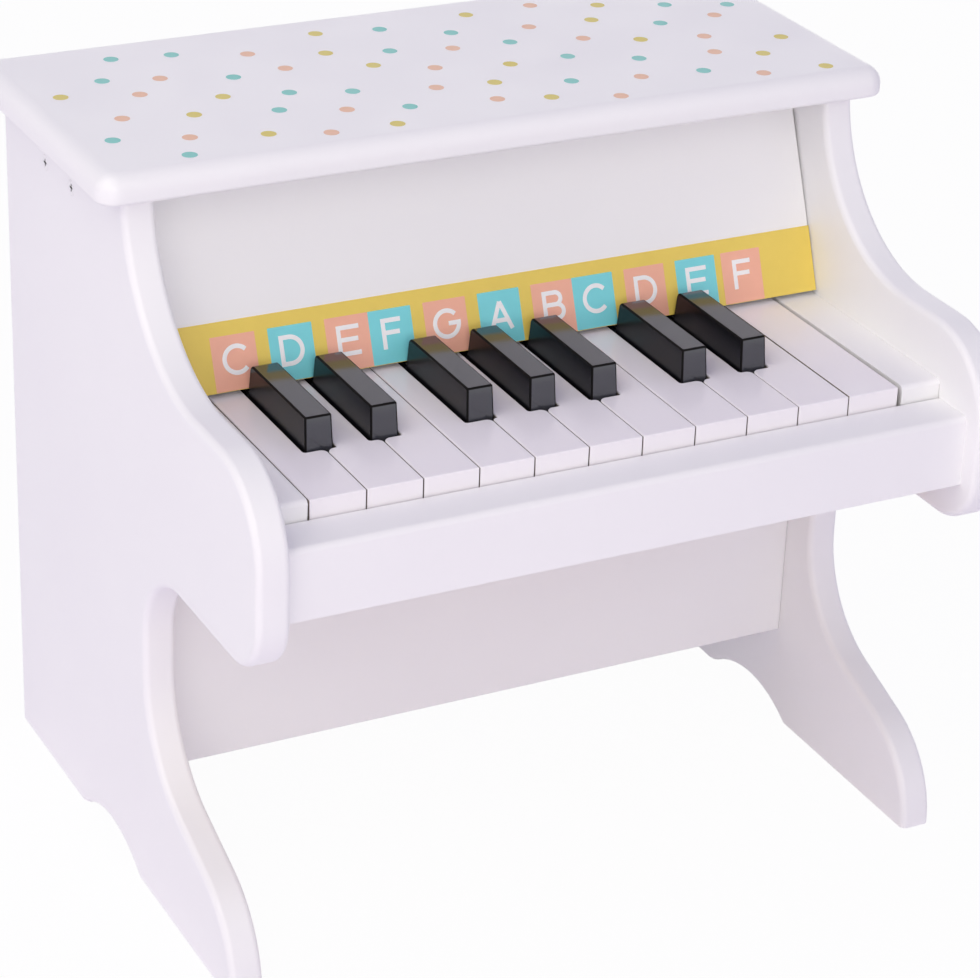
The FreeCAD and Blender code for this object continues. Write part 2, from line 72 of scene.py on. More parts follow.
MM = 0.001
MERGE_DISTANCE = 0.002 * MM
STRAIGHT_EDGE = 3.0 * MM
HEAD_SKIN = 0.05 * MM
FLAT_ANGLE = math.radians(0.4)
SHARP_ANGLE = math.radians(35)
END_REACH = 0.5 * MM
PAPER_EDGE = 0.05 * MM
EDGE_SEGMENTS = 3
FLANK_SLOPE = 0.7
PHOTO_WIDTH = 980
PHOTO_HEIGHT = 978
SENSOR_WIDTH = 36.0
FLOOR_SIDES = 96
HORIZON = 0.1

WHITE_NOTES = ("c1", "d1", "e1", "f1", "g1", "a1", "b1", "c2", "d2", "e2", "f2")
BLACK_NOTES = ("cs1", "ds1", "fs1", "gs1", "as1", "cs2", "ds2")
WHITES_PER_OCTAVE = 7
HALF_TONES = (3, 0)  # counts of white keys in an octave after which the next one is a half tone up
SQUARE_TONES = ("pink", "teal")
SQUARE_SINK = 0.4  # share of a print layer at which a square's middle lies
LETTER_SINK = 0.9
STROKE_STEP = 0.06  # lift of each further stroke of a letter, in stroke widths
DOT_ORDER = ("pink", "yellow", "teal", "teal", "pink", "yellow", "teal", "pink", "teal", "pink", "yellow")
DOT_ORDER_SHIFT = 4
DOT_SPARE_STEPS = 4
DOT_SIDES = 40

WOOD_PALE, WOOD_DARK = (0.68, 0.52, 0.33), (0.50, 0.345, 0.19)
FELT_DARK, FELT_BRIGHT = (0.22, 0.03, 0.035), (0.42, 0.075, 0.08)
STEEL_BRIGHT, STEEL_DULL = (0.62, 0.62, 0.63), (0.50, 0.495, 0.485)
BARE_ZINC = (0.48, 0.48, 0.49)
IRON_DARK, IRON_WORN = (0.016, 0.016, 0.018), (0.035, 0.034, 0.034)
PLASTIC_PALE, PLASTIC_DEEP = (0.76, 0.735, 0.68), (0.70, 0.67, 0.61)

PANELS = {"upper_front_panel": "upper_panel", "lower_front_panel": "lower_panel", "back_panel": "back_board",
          "bottom_board": "floor_board", "left_key_block": "left_block", "right_key_block": "right_block",
          "key_slip": "slip"}


def length(name, description, default):
    """A size in metres that a user may change."""
    return FloatProperty(name=name, description=description, default=default, min=0.0, unit="LENGTH", precision=5)


def share(name, description, default):
    """A plain number from 0 to 1 that a user may change."""
    return FloatProperty(name=name, description=description, default=default, min=0.0, max=1.0, subtype="FACTOR")


def colour(name, description, default):
    """A colour that a user may change."""
    return FloatVectorProperty(name=name, description=description, default=default, min=0.0, max=1.0,
                               size=3, subtype="COLOR")


def spot(name, description, default):
    """A place in metres that a user may change."""
    return FloatVectorProperty(name=name, description=description, default=default, size=3, unit="LENGTH",
                               subtype="TRANSLATION")


def angle(name, description, degrees):
    """An angle that a user may change."""
    return FloatProperty(name=name, description=description, default=math.radians(degrees), subtype="ANGLE")


def power(name, description, default):
    """A lamp's power in watts that a user may change."""
    return FloatProperty(name=name, description=description, default=default, min=0.0, subtype="POWER", unit="POWER")


class BoardSettings(bpy.types.PropertyGroup):
    """The lacquered boards of the case."""

    paint: colour("Lacquer", "White of the boards", (0.95, 0.945, 0.95))
    paint_deep: colour("Lacquer, thick", "Tone where the lacquer lies thicker", (0.935, 0.928, 0.938))
    sheen: share("Roughness", "Mean roughness of the satin lacquer", 0.40)
    edge: length("Edge rounding", "Rounding of sawn edges under the lacquer", 0.7 * MM)
    block_edge: length("Block edge", "Rounding of the key blocks' edges", 0.8 * MM)
    block_gap: length("Block gap", "More room between the last key and the right block", 0.5 * MM)
    left_gap: length("Left block gap", "Less room between the first key and the left block", 0.4 * MM)
    end_gap_top: length("Panel gap, top", "Gap at the upper panel's right end, under the lid", 0.9 * MM)
    end_gap_foot: length("Panel gap, foot", "Gap at the upper panel's right end, at its foot", 0.15 * MM)


class KeySettings(bpy.types.PropertyGroup):
    """The white and black keys."""

    white: colour("White keys", "Lacquer of the white keys", (0.97, 0.935, 0.97))
    # Painted shade: the white keys' left and right faces get this dark brown so that the gaps between the keys look
    # shaded; it stands for shade, not for bare or sealed wood.
    white_flank: colour("White key sides", "Sealed wood on the white keys' sides", (0.32, 0.27, 0.24))
    white_sheen: share("White roughness", "Roughness of the white keys", 0.22)
    white_edge: length("White edge", "Rounding of the white keys' edges", 0.5 * MM)
    black: colour("Black keys", "Polished lacquer of the black keys", (0.036, 0.038, 0.048))
    # Painted shade: the black keys' left and right faces get a darker, duller copy of the keys' lacquer, so that they
    # look shaded.
    black_side: colour("Black sides", "Thin lacquer on the black keys' sides", (0.0045, 0.0047, 0.0065))
    # Painted shade: a near-black, dull copy of the lacquer on the rounded edges of the black keys, so that they show a
    # dark outline.
    black_rim: colour("Black edges", "Rubbed lacquer on the black keys' edges", (0.004, 0.0035, 0.004))
    black_sheen: share("Black roughness", "Roughness of the black keys", 0.12)
    black_edge: length("Black edge", "Rounding of the black keys' edges", 0.6 * MM)


class PrintSettings(bpy.types.PropertyGroup):
    """The note strip's print and the dots on the lid."""

    band: colour("Strip", "Ground colour of the strip", (0.86, 0.65, 0.125))
    pink: colour("Pink", "Pink squares", (0.95, 0.485, 0.35))
    teal: colour("Teal", "Teal squares", (0.22, 0.73, 0.785))
    letter: colour("Letters", "Colour of the note letters", (0.97, 0.96, 0.97))
    dot_pink: colour("Pink dots", "Pink dots on the lid", (0.815, 0.485, 0.33))
    dot_yellow: colour("Yellow dots", "Yellow dots on the lid", (0.67, 0.555, 0.10))
    dot_teal: colour("Teal dots", "Teal dots on the lid", (0.18, 0.575, 0.53))
    print_lift: length("Print", "Thickness of a printed layer", 0.04 * MM)
    first_note: FloatProperty(name="First square", default=-102.3 * MM, unit="LENGTH", precision=5,
                              description="Middle of the first square, from the middle of the strip")
    whole_tone: length("Whole tone", "Step between the squares of a whole tone", 21.3 * MM)
    square_width: length("Square width", "Width of a square, and the step of a half tone", 16.5 * MM)
    last_step: length("Last step", "Step to the last square", 19.2 * MM)
    square_height: length("Square height", "Height of a square up the slope", 19.0 * MM)
    square_foot: length("Square foot", "Strip below the squares", 0.2 * MM)
    square_corner: length("Square corner", "Corner rounding of a square", 0.3 * MM)
    letter_height: length("Letter height", "Height of a letter", 10.8 * MM)
    letter_foot: length("Letter foot", "Strip below the letters", 5.2 * MM)
    letter_stroke: length("Letter stroke", "Width of a letter's stroke", 1.6 * MM)
    dot_size: length("Dot", "Diameter of a dot", 5.4 * MM)
    dot_step: length("Dot step", "Step along a row of dots", 24.2 * MM)
    dot_fall: length("Dot fall", "How far a row comes forward in one step", 6.0 * MM)
    dot_row: length("Dot row", "Step from row to row", 17.0 * MM)
    dot_lean: length("Dot lean", "Sideways shift from row to row", 12.0 * MM)
    dot_scatter: length("Dot scatter", "How far a dot may stray from its place", 4.4 * MM)
    dot_margin: length("Dot margin", "Plain border of the lid", 7.0 * MM)
    dot_seed: IntProperty(name="Dot seed", description="Start of the scatter", default=11)


class StageSettings(bpy.types.PropertyGroup):
    """Camera, light and floor."""

    camera_place: spot("Camera", "Place of the camera", (-0.5002, -0.9458, 0.6582))
    camera_turn: angle("Turn", "Turn of the camera about the upright", -28.196)
    camera_tilt: angle("Tilt", "How far the camera looks down", 26.470)
    camera_roll: angle("Roll", "Roll of the camera", 2.416)
    focal_pixels: FloatProperty(name="Focal length", description="Focal length in pixels of the photograph's frame",
                                default=3278.92)
    centre_x: FloatProperty(name="Centre x", description="Picture centre in pixels from the left", default=507.6)
    centre_y: FloatProperty(name="Centre y", description="Picture centre in pixels from the top", default=486.96)
    sky_side: colour("Side light", "Light of the room from the sides", (0.755, 0.74, 0.77))
    sky_top: colour("Top light", "Light of the room from above", (0.15, 0.13, 0.32))
    lamp_size: length("Lamp size", "Side of the large soft lamps", 1.4)
    lamp_tint: colour("Lamp colour", "Colour of the lamps", (1.0, 0.97, 0.84))
    left_power: power("Left lamp", "Power of the lamp high on the left", 9.1)
    left_place: spot("Left lamp place", "Middle of the lamp high on the left", (-1.0, -0.2, 1.5))
    front_power: power("Front lamp", "Power of the lamp in front", 7.8)
    front_place: spot("Front lamp place", "Middle of the lamp in front", (-0.6, -1.3, 0.8))
    back_power: power("Back lamp", "Power of the weak lamp behind", 3.6)
    back_place: spot("Back lamp place", "Middle of the weak lamp behind", (0.9, 1.3, 0.3))
    floor: colour("Floor", "Colour of the floor", (0.95, 0.885, 1.0))
    floor_glow: share("Floor white", "How far the floor shows as the white background", 0.96)
    floor_reach: length("Floor size", "Radius of the floor", 4.0)


class Strand:
    """A node's output. Sums with numbers or other outputs add their Math nodes."""

    def __init__(self, graph, socket):
        self.graph = graph
        self.socket = socket

    def math(self, operation, other):
        return self.graph.node("ShaderNodeMath", {"operation": operation}, {0: self, 1: other})

    def __add__(self, other):
        return self.math("ADD", other)

    def __mul__(self, other):
        return self.math("MULTIPLY", other)

    def __or__(self, other):
        return self.math("MAXIMUM", other)

    __radd__, __rmul__, __ror__ = __add__, __mul__, __or__


class Graph:
    """Adds nodes to the tree of one material or of the world."""

    def __init__(self, tree):
        self.tree = tree

    def node(self, kind, settings=None, sockets=None, output=0):
        """Adds a node, sets it up, fills or links its sockets and gives back one output."""
        made = self.tree.nodes.new(kind)
        for name, value in (settings or {}).items():
            setattr(made, name, value)
        for name, value in (sockets or {}).items():
            self.feed(made.inputs[name], value)
        return Strand(self, made.outputs[output])

    def feed(self, socket, value):
        """Links an output to a socket, or sets the socket's own value."""
        if isinstance(value, Strand):
            self.tree.links.new(value.socket, socket)
        else:
            socket.default_value = value

    def fill(self, shader, **sockets):
        """Links or sets several sockets of a shader, named with underscores for spaces."""
        for name, value in sockets.items():
            self.feed(shader.inputs[name.replace("_", " ")], value)

    def mix(self, factor, first, second):
        """A colour between two colours."""
        return self.node("ShaderNodeMix", {"data_type": "RGBA"},
                         {0: factor, 6: solid_colour(first), 7: solid_colour(second)}, 2)

    def place(self, stretch=(1.0, 1.0, 1.0)):
        """The object's own coordinates in metres, stretched along its axes."""
        spot = self.node("ShaderNodeTexCoord", output="Object")
        return self.node("ShaderNodeMapping", {}, {"Vector": spot, "Scale": stretch})

    def noise(self, where, scale, detail=2.0, distortion=0.0):
        """Soft noise from 0 to 1 with about scale features to the metre."""
        return self.node("ShaderNodeTexNoise", {},
                         {"Vector": where, "Scale": scale, "Detail": detail, "Distortion": distortion})

    def spread(self, value, low, high, to_low=0.0, to_high=1.0):
        """Takes a value from one range to another and holds it there."""
        return self.node("ShaderNodeMapRange", {"clamp": True},
                         {0: value, 1: low, 2: high, 3: to_low, 4: to_high})

    def bump(self, height, distance):
        """A surface normal from a height of 0 to 1 over a distance in metres."""
        return self.node("ShaderNodeBump", {}, {"Strength": 1.0, "Distance": distance, "Height": height})


def solid_colour(rgb):
    """A colour with full alpha, as sockets want it; an output stays as it is."""
    return rgb if isinstance(rgb, Strand) else (*rgb, 1.0)


def scaled(rgb, factor):
    """A colour with all its channels times a factor."""
    return [tone * factor for tone in rgb]


def new_finish(name, **sockets):
    """Starts a material and sets its shader's plain sockets; gives back the material, its graph and its shader."""
    material = bpy.data.materials.new(name)
    material.use_nodes = True
    graph = Graph(material.node_tree)
    shader = material.node_tree.nodes["Principled BSDF"]
    graph.fill(shader, **sockets)
    return material, graph, shader


def lacquer_finish(name, thin, thick, roughness, peel, specular):
    """Sprayed lacquer: a faint drift of tone, a soft peel on the surface and uneven gloss."""
    material, graph, shader = new_finish(name, Specular_IOR_Level=specular)
    where = graph.place()
    drift = graph.spread(graph.noise(where, scale=16.0, detail=3.0), low=0.3, high=0.7)
    speck = graph.spread(graph.noise(where, scale=900.0, detail=2.0), low=0.62, high=0.82)
    handling = graph.noise(where, scale=38.0, detail=4.0, distortion=0.4)
    grain = graph.noise(where, scale=560.0, detail=1.5)
    wave = graph.noise(where, scale=90.0, detail=1.0)
    graph.fill(shader, Base_Color=graph.mix(drift * 0.8 + speck * 0.2, thin, thick),
               Roughness=graph.spread(handling, 0.25, 0.75, to_low=roughness * 0.86, to_high=roughness * 1.16),
               Normal=graph.bump(grain * 0.35 + wave, distance=peel))
    return material


def satin_lacquer():
    boards = bpy.context.scene.toypiano_boards
    return lacquer_finish("satin_lacquer", boards.paint, boards.paint_deep, boards.sheen,
                          peel=0.06 * MM, specular=0.42)


def white_key_lacquer():
    keys = bpy.context.scene.toypiano_keys
    return lacquer_finish("white_key_lacquer", keys.white, scaled(keys.white, 0.975), keys.white_sheen,
                          peel=0.025 * MM, specular=0.45)


# Painted shade: the dark brown of the white keys' left and right faces, which stands for the shade in the gaps between
# the keys.
def painted_gap_shade():
    keys = bpy.context.scene.toypiano_keys
    return lacquer_finish("painted_gap_shade", keys.white_flank, scaled(keys.white_flank, 0.8), roughness=0.6,
                          peel=0.04 * MM, specular=0.3)


def black_key_lacquer():
    keys = bpy.context.scene.toypiano_keys
    return lacquer_finish("black_key_lacquer", keys.black, scaled(keys.black, 1.2), keys.black_sheen,
                          peel=0.012 * MM, specular=0.9)


# Painted shade: a darker, duller copy of the black keys' lacquer for their left and right faces.
def painted_shade_black_side():
    keys = bpy.context.scene.toypiano_keys
    return lacquer_finish("painted_shade_black_side", keys.black_side, scaled(keys.black_side, 1.35), 2.0 * keys.black_sheen,
                          peel=0.02 * MM, specular=0.22)


# Painted shade: the dark outline along the black keys' rounded edges.
def painted_shade_black_rim():
    keys = bpy.context.scene.toypiano_keys
    return lacquer_finish("painted_shade_black_rim", keys.black_rim, scaled(keys.black_rim, 1.5), roughness=0.5,
                          peel=0.02 * MM, specular=0.08)


def print_finish(name, ink, roughness=0.34):
    """Ink on coated paper: a fine screen of tone, paper fibre and a slight gloss."""
    material, graph, shader = new_finish(name, Specular_IOR_Level=0.45)
    mottle = graph.spread(graph.noise(graph.place(), scale=140.0, detail=3.0), low=0.3, high=0.7)
    fibre = graph.noise(graph.place(stretch=(1.0, 3.0, 3.0)), scale=1100.0, detail=2.0)
    pale = [min(1.0, tone * 1.04 + 0.006) for tone in ink]
    graph.fill(shader, Base_Color=graph.mix(mottle * 0.6 + fibre * 0.4, ink, pale),
               Roughness=graph.spread(mottle + fibre, 0.4, 1.6, to_low=roughness * 0.9, to_high=roughness * 1.15),
               Normal=graph.bump(fibre, distance=0.008 * MM))
    return material


def sanded_wood():
    """Sanded softwood with its grain along the piano's width."""
    material, graph, shader = new_finish("sanded_wood", Specular_IOR_Level=0.3)
    grain = graph.noise(graph.place(stretch=(3.0, 60.0, 60.0)), scale=6.0, detail=5.0, distortion=0.8)
    pores = graph.noise(graph.place(stretch=(40.0, 900.0, 900.0)), scale=2.0, detail=2.0)
    rings = graph.spread(grain, low=0.35, high=0.65)
    dark = rings * 0.7 + graph.spread(pores, low=0.5, high=0.8) * 0.3
    graph.fill(shader, Base_Color=graph.mix(dark, WOOD_PALE, WOOD_DARK),
               Roughness=graph.spread(pores, 0.3, 0.7, to_low=0.55, to_high=0.72),
               Normal=graph.bump(rings * 0.4 + pores, distance=0.05 * MM))
    return material


def wool_felt():
    """Pressed wool with a soft, hairy surface."""
    material, graph, shader = new_finish("wool_felt", Specular_IOR_Level=0.1)
    where = graph.place()
    hair = graph.noise(where, scale=900.0, detail=4.0, distortion=1.5)
    tuft = graph.noise(where, scale=160.0, detail=3.0)
    graph.fill(shader, Base_Color=graph.mix(hair * 0.6 + tuft * 0.4, FELT_DARK, FELT_BRIGHT),
               Roughness=graph.spread(hair, 0.2, 0.8, to_low=0.85, to_high=1.0),
               Normal=graph.bump(hair + tuft, distance=0.2 * MM))
    return material


def drawn_steel():
    """Bright drawn bar with fine marks round and along it."""
    material, graph, shader = new_finish("drawn_steel", Metallic=1.0)
    drawn = graph.noise(graph.place(stretch=(20.0, 20.0, 900.0)), scale=4.0, detail=3.0)
    stain = graph.noise(graph.place(), scale=60.0, detail=3.0)
    graph.fill(shader, Base_Color=graph.mix(stain, STEEL_BRIGHT, STEEL_DULL),
               Roughness=graph.spread(drawn * 0.6 + stain * 0.4, 0.3, 0.7, to_low=0.22, to_high=0.38),
               Normal=graph.bump(drawn, distance=0.01 * MM))
    return material


def painted_screw():
    """Screws painted over with the boards, with specks of bare zinc where the driver turned."""
    boards = bpy.context.scene.toypiano_boards
    material, graph, shader = new_finish("painted_screw", Specular_IOR_Level=0.42)
    where = graph.place()
    chip = graph.spread(graph.noise(where, scale=1300.0, detail=3.0), low=0.60, high=0.66)
    cloud = graph.noise(where, scale=420.0, detail=3.0)
    paint = graph.mix(cloud, boards.paint, boards.paint_deep)
    graph.fill(shader, Base_Color=graph.mix(chip, paint, BARE_ZINC), Metallic=chip * 0.9,
               Roughness=graph.spread(cloud, 0.3, 0.7, to_low=0.34, to_high=0.5),
               Normal=graph.bump(cloud, distance=0.02 * MM))
    return material


def painted_iron():
    """A black-painted casting with a sandy skin."""
    material, graph, shader = new_finish("painted_iron", Specular_IOR_Level=0.4)
    where = graph.place()
    sand = graph.noise(where, scale=700.0, detail=3.0)
    cloud = graph.noise(where, scale=70.0, detail=3.0)
    graph.fill(shader, Base_Color=graph.mix(cloud, IRON_DARK, IRON_WORN),
               Roughness=graph.spread(sand, 0.3, 0.7, to_low=0.45, to_high=0.65),
               Normal=graph.bump(sand, distance=0.12 * MM))
    return material


def moulded_plastic():
    """Natural moulded plastic of the hammers."""
    material, graph, shader = new_finish("moulded_plastic", Specular_IOR_Level=0.4)
    flow = graph.noise(graph.place(stretch=(1.0, 0.4, 1.0)), scale=120.0, detail=3.0, distortion=0.6)
    spark = graph.noise(graph.place(), scale=1600.0, detail=1.0)
    graph.fill(shader, Base_Color=graph.mix(flow, PLASTIC_PALE, PLASTIC_DEEP),
               Roughness=graph.spread(spark, 0.3, 0.7, to_low=0.42, to_high=0.58),
               Normal=graph.bump(spark, distance=0.01 * MM))
    return material


def finish_of(maker):
    """The material that a maker function makes, made once."""
    return bpy.data.materials.get(maker.__name__) or maker()


def start_clean():
    """Leaves edit mode and deselects everything."""
    active = bpy.context.view_layer.objects.active
    if active is not None and active.mode != "OBJECT":
        bpy.ops.object.mode_set(mode="OBJECT")
    bpy.ops.object.select_all(action="DESELECT")


def pick(*pieces):
    """Selects only these pieces; the first one is active."""
    start_clean()
    for piece in pieces:
        piece.select_set(True)
    bpy.context.view_layer.objects.active = pieces[0]


def pick_points(piece, test):
    """Goes into edit mode with only the points selected that pass a test on their place."""
    pick(piece)
    bpy.ops.object.mode_set(mode="EDIT")
    bpy.ops.mesh.select_mode(type="VERT")
    bpy.ops.mesh.select_all(action="DESELECT")
    bpy.ops.object.mode_set(mode="OBJECT")
    for point in piece.data.vertices:
        point.select = test(point.co)
    bpy.ops.object.mode_set(mode="EDIT")


def move_points(piece, test, shift):
    """Moves the points that pass a test."""
    pick_points(piece, test)
    bpy.ops.transform.translate(value=shift)
    bpy.ops.object.mode_set(mode="OBJECT")


def merged_copy(node, name):
    """A copy of a frame node with its loose triangles merged into whole faces."""
    piece = bpy.data.objects.new(name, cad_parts[node].data.copy())
    piece.data.name = name
    bpy.context.scene.collection.objects.link(piece)
    pick(piece)
    bpy.ops.object.mode_set(mode="EDIT")
    bpy.ops.mesh.select_all(action="SELECT")
    bpy.ops.mesh.remove_doubles(threshold=MERGE_DISTANCE)
    bpy.ops.mesh.dissolve_limited(angle_limit=FLAT_ANGLE)
    bpy.ops.object.mode_set(mode="OBJECT")
    if not piece.data.polygons:
        raise RuntimeError(f"{node} has no faces to copy")
    return piece


def straight(start, end):
    """True for an edge that is too long to belong to a screw hole."""
    return (end - start).length >= STRAIGHT_EDGE


def reaches_front(start, end):
    """True for an edge of a key that starts in front of its pivot hole."""
    return min(start.y, end.y) < 0.0


def soften(piece, width, wanted=straight, finish=-1):
    """Rounds the wanted sharp edges of a piece in one of its finishes, and shades it with flat faces kept flat."""
    pick(piece)
    if piece.data.has_custom_normals:
        bpy.ops.mesh.customdata_custom_splitnormals_clear()
    if width > 0.0:
        bpy.ops.object.mode_set(mode="EDIT")
        bpy.ops.mesh.select_mode(type="EDGE")
        bpy.ops.mesh.select_all(action="DESELECT")
        bpy.ops.mesh.edges_select_sharp(sharpness=SHARP_ANGLE)
        bpy.ops.object.mode_set(mode="OBJECT")
        points = piece.data.vertices
        for edge in piece.data.edges:
            start, end = (points[index].co for index in edge.vertices)
            edge.select = edge.select and wanted(start, end)
        bpy.ops.object.mode_set(mode="EDIT")
        bpy.ops.mesh.bevel(offset=width, segments=EDGE_SEGMENTS, clamp_overlap=False, material=finish)
        bpy.ops.object.mode_set(mode="OBJECT")
    bpy.ops.object.shade_smooth_by_angle(angle=SHARP_ANGLE)
    weight = piece.modifiers.new("flat faces", "WEIGHTED_NORMAL")
    weight.keep_sharp = True
    bpy.ops.object.modifier_apply(modifier=weight.name)
    return piece


def coat(piece, *finishes):
    """Gives a piece its finishes; the first one covers it all."""
    piece.data.materials.clear()
    for finish in finishes:
        piece.data.materials.append(finish)
    return piece


def coat_flanks(key):
    """Gives the left and right faces of a key its second finish."""
    for face in key.data.polygons:
        face.material_index = 1 if abs(face.normal.x) > FLANK_SLOPE else 0


def hand_over(piece, body="case", stands_for=()):
    """Gives a finished piece its place in the frame."""
    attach(piece, body)
    if stands_for:
        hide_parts(*stands_for)
    start_clean()
    return piece


def joined(pieces, name):
    """Joins like pieces into one."""
    pick(*pieces)
    if len(pieces) > 1:
        bpy.ops.object.join()
    whole = bpy.context.view_layer.objects.active
    whole.name = name
    whole.data.name = name
    return whole


def own_copy(piece, name):
    """A copy of a piece with a mesh of its own."""
    twin = piece.copy()
    twin.data = piece.data.copy()
    twin.name = name
    bpy.context.scene.collection.objects.link(twin)
    return twin


def strip_face():
    """Foot, upward direction and outward direction of the note strip's printed face, read from the frame."""
    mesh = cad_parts["note_strip"].data
    front = max(mesh.polygons, key=lambda face: face.area if face.normal.y < -0.5 else 0.0)
    out = front.normal.normalized()
    up = out.cross(Vector((1.0, 0.0, 0.0))).normalized()
    points = [mesh.vertices[index].co for index in front.vertices]
    foot = min(point.dot(up) for point in points) * up + points[0].dot(out) * out
    return foot, up, out


def lay_on_strip(piece, across, height, lift):
    """Turns a flat piece from the ground onto the strip's face, at a height up its slope."""
    foot, up, out = strip_face()
    right = Vector((1.0, 0.0, 0.0))
    turn = Matrix((right, up, out)).transposed().to_4x4()
    turn.translation = foot + right * across + up * height + out * lift
    piece.matrix_world = turn
    pick(piece)
    bpy.ops.object.transform_apply(location=True, rotation=True, scale=True)


def bend(middle_x, middle_y, radius_x, radius_y, start, end, step=9.0):
    """Points along part of an oval, in degrees."""
    count = max(3, round(abs(end - start) / step))
    turns = [math.radians(start + (end - start) * i / count) for i in range(count + 1)]
    return [(middle_x + radius_x * math.cos(turn), middle_y + radius_y * math.sin(turn)) for turn in turns]


def letter_strokes(letter, half):
    """Width and strokes of a plain letter of height 1, drawn with one even pen of that half width."""
    top, round_half = 1.0 - half, 0.5 - half
    stem = [(half, 0.0), (half, 1.0)]
    if letter == "A":
        return 0.90, [[(half, 0.0), (0.45, top)], [(0.90 - half, 0.0), (0.45, top)], [(0.18, 0.31), (0.72, 0.31)]]
    if letter == "B":
        waist, upper, lower = 0.53, 0.5 * (top - 0.53), 0.5 * (0.53 - half)
        upper_bowl = [(half, top), *bend(0.48, top - upper, upper, upper, 90, -90), (half, waist)]
        lower_bowl = [(half, waist), *bend(0.52, waist - lower, lower, lower, 90, -90), (half, half)]
        return 0.80, [stem, upper_bowl, lower_bowl]
    if letter == "C":
        return 0.86, [bend(0.5, 0.5, round_half, round_half, 42, 318)]
    if letter == "D":
        return 0.85, [stem, [(half, top), *bend(0.35, 0.5, round_half, round_half, 90, -90), (half, half)]]
    if letter == "E":
        return 0.80, [stem, *[[(0.0, y), (x, y)] for y, x in ((top, 0.80), (0.53, 0.74), (half, 0.80))]]
    if letter == "F":
        return 0.70, [stem, *[[(0.0, y), (x, y)] for y, x in ((top, 0.70), (0.53, 0.64))]]
    if letter == "G":
        return 0.97, [bend(0.5, 0.5, round_half, round_half, 42, 360), [(0.56, 0.5), (1.0, 0.5)]]
    raise RuntimeError(f"no strokes for the letter {letter}")


def drawn_letter(letter, height, stroke):
    """One letter as a flat raised stroke, in the ground plane with its foot on the x axis and its middle at x 0."""
    width, strokes = letter_strokes(letter, 0.5 * stroke / height)
    pen = bpy.data.curves.new(f"letter_{letter}", "CURVE")
    pen.dimensions = "3D"
    pen.bevel_depth = 0.5 * stroke
    pen.bevel_resolution = 1
    pen.use_fill_caps = True
    for layer, points in enumerate(strokes):
        line = pen.splines.new("POLY")
        line.points.add(len(points) - 1)
        for spot, (x, y) in zip(line.points, points):
            spot.co = ((x - 0.5 * width) * height, y * height, STROKE_STEP * layer * stroke, 1.0)
    piece = bpy.data.objects.new(f"letter_{letter}", pen)
    bpy.context.scene.collection.objects.link(piece)
    pick(piece)
    bpy.ops.object.convert(target="MESH")
    bpy.ops.object.shade_flat()
    return bpy.context.view_layer.objects.active


def note_middles(prints):
    """Middle of each square across the strip: whole tones stand apart, half tones touch."""
    middle, middles = prints.first_note, []
    for index in range(len(WHITE_NOTES)):
        middles.append(middle)
        if index == len(WHITE_NOTES) - 2:
            middle += prints.last_step
        elif (index + 1) % WHITES_PER_OCTAVE in HALF_TONES:
            middle += prints.square_width
        else:
            middle += prints.whole_tone
    return middles


def dot_spots(prints):
    """Place and colour of each dot: slanted rows with a seeded scatter, over the lid's top."""
    low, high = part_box("lid")
    scatter = random.Random(prints.dot_seed)
    middle = (low + high) * 0.5
    margin = prints.dot_margin + 0.5 * prints.dot_size
    reach = math.ceil((high.x - low.x) / prints.dot_step) + DOT_SPARE_STEPS
    for row in range(-reach, reach + 1):
        for step in range(-reach, reach + 1):
            stray = [scatter.uniform(-prints.dot_scatter, prints.dot_scatter) for _ in range(2)]
            x = middle.x + step * prints.dot_step - row * prints.dot_lean + stray[0]
            y = middle.y - step * prints.dot_fall - row * prints.dot_row + stray[1]
            if low.x + margin < x < high.x - margin and low.y + margin < y < high.y - margin:
                tone = DOT_ORDER[(step + DOT_ORDER_SHIFT * row) % len(DOT_ORDER)]
                yield Vector((x, y, high.z)), tone


class TOYPIANO_OT_side_boards(bpy.types.Operator):
    """Make the two shaped side boards"""

    bl_idname = "toypiano.side_boards"
    bl_label = "Side boards"

    def execute(self, context):
        for side in ("left", "right"):
            board = coat(merged_copy(f"{side}_side_panel", f"{side}_side_board"), finish_of(satin_lacquer))
            hand_over(soften(board, 0.0), stands_for=[f"{side}_side_panel"])
        return {"FINISHED"}


class TOYPIANO_OT_lid(bpy.types.Operator):
    """Make the overhanging lid and the printed dots on it"""

    bl_idname = "toypiano.lid"
    bl_label = "Lid and dots"

    def execute(self, context):
        prints = context.scene.toypiano_prints
        board = coat(merged_copy("lid", "lid_board"), finish_of(satin_lacquer))
        hand_over(soften(board, 0.0), stands_for=["lid"])
        start_clean()
        bpy.ops.mesh.primitive_circle_add(vertices=DOT_SIDES, radius=0.5 * prints.dot_size, fill_type="NGON")
        dot = context.active_object
        bpy.ops.object.mode_set(mode="EDIT")
        bpy.ops.mesh.select_all(action="SELECT")
        bpy.ops.mesh.extrude_region_move(TRANSFORM_OT_translate={"value": (0.0, 0.0, prints.print_lift)})
        bpy.ops.mesh.select_all(action="SELECT")
        bpy.ops.mesh.normals_make_consistent(inside=False)
        bpy.ops.object.mode_set(mode="OBJECT")
        dots = {"pink": [], "yellow": [], "teal": []}
        for spot, tone in dot_spots(prints):
            copy = own_copy(dot, f"dot_{tone}")
            copy.location = spot
            dots[tone].append(copy)
        bpy.data.objects.remove(dot)
        for tone, copies in dots.items():
            sheet = joined(copies, f"lid_dots_{tone}")
            bpy.ops.object.transform_apply(location=True, rotation=True, scale=True)
            ink = print_finish(f"dot_ink_{tone}", getattr(prints, f"dot_{tone}"), roughness=0.4)
            hand_over(coat(sheet, ink))
        return {"FINISHED"}


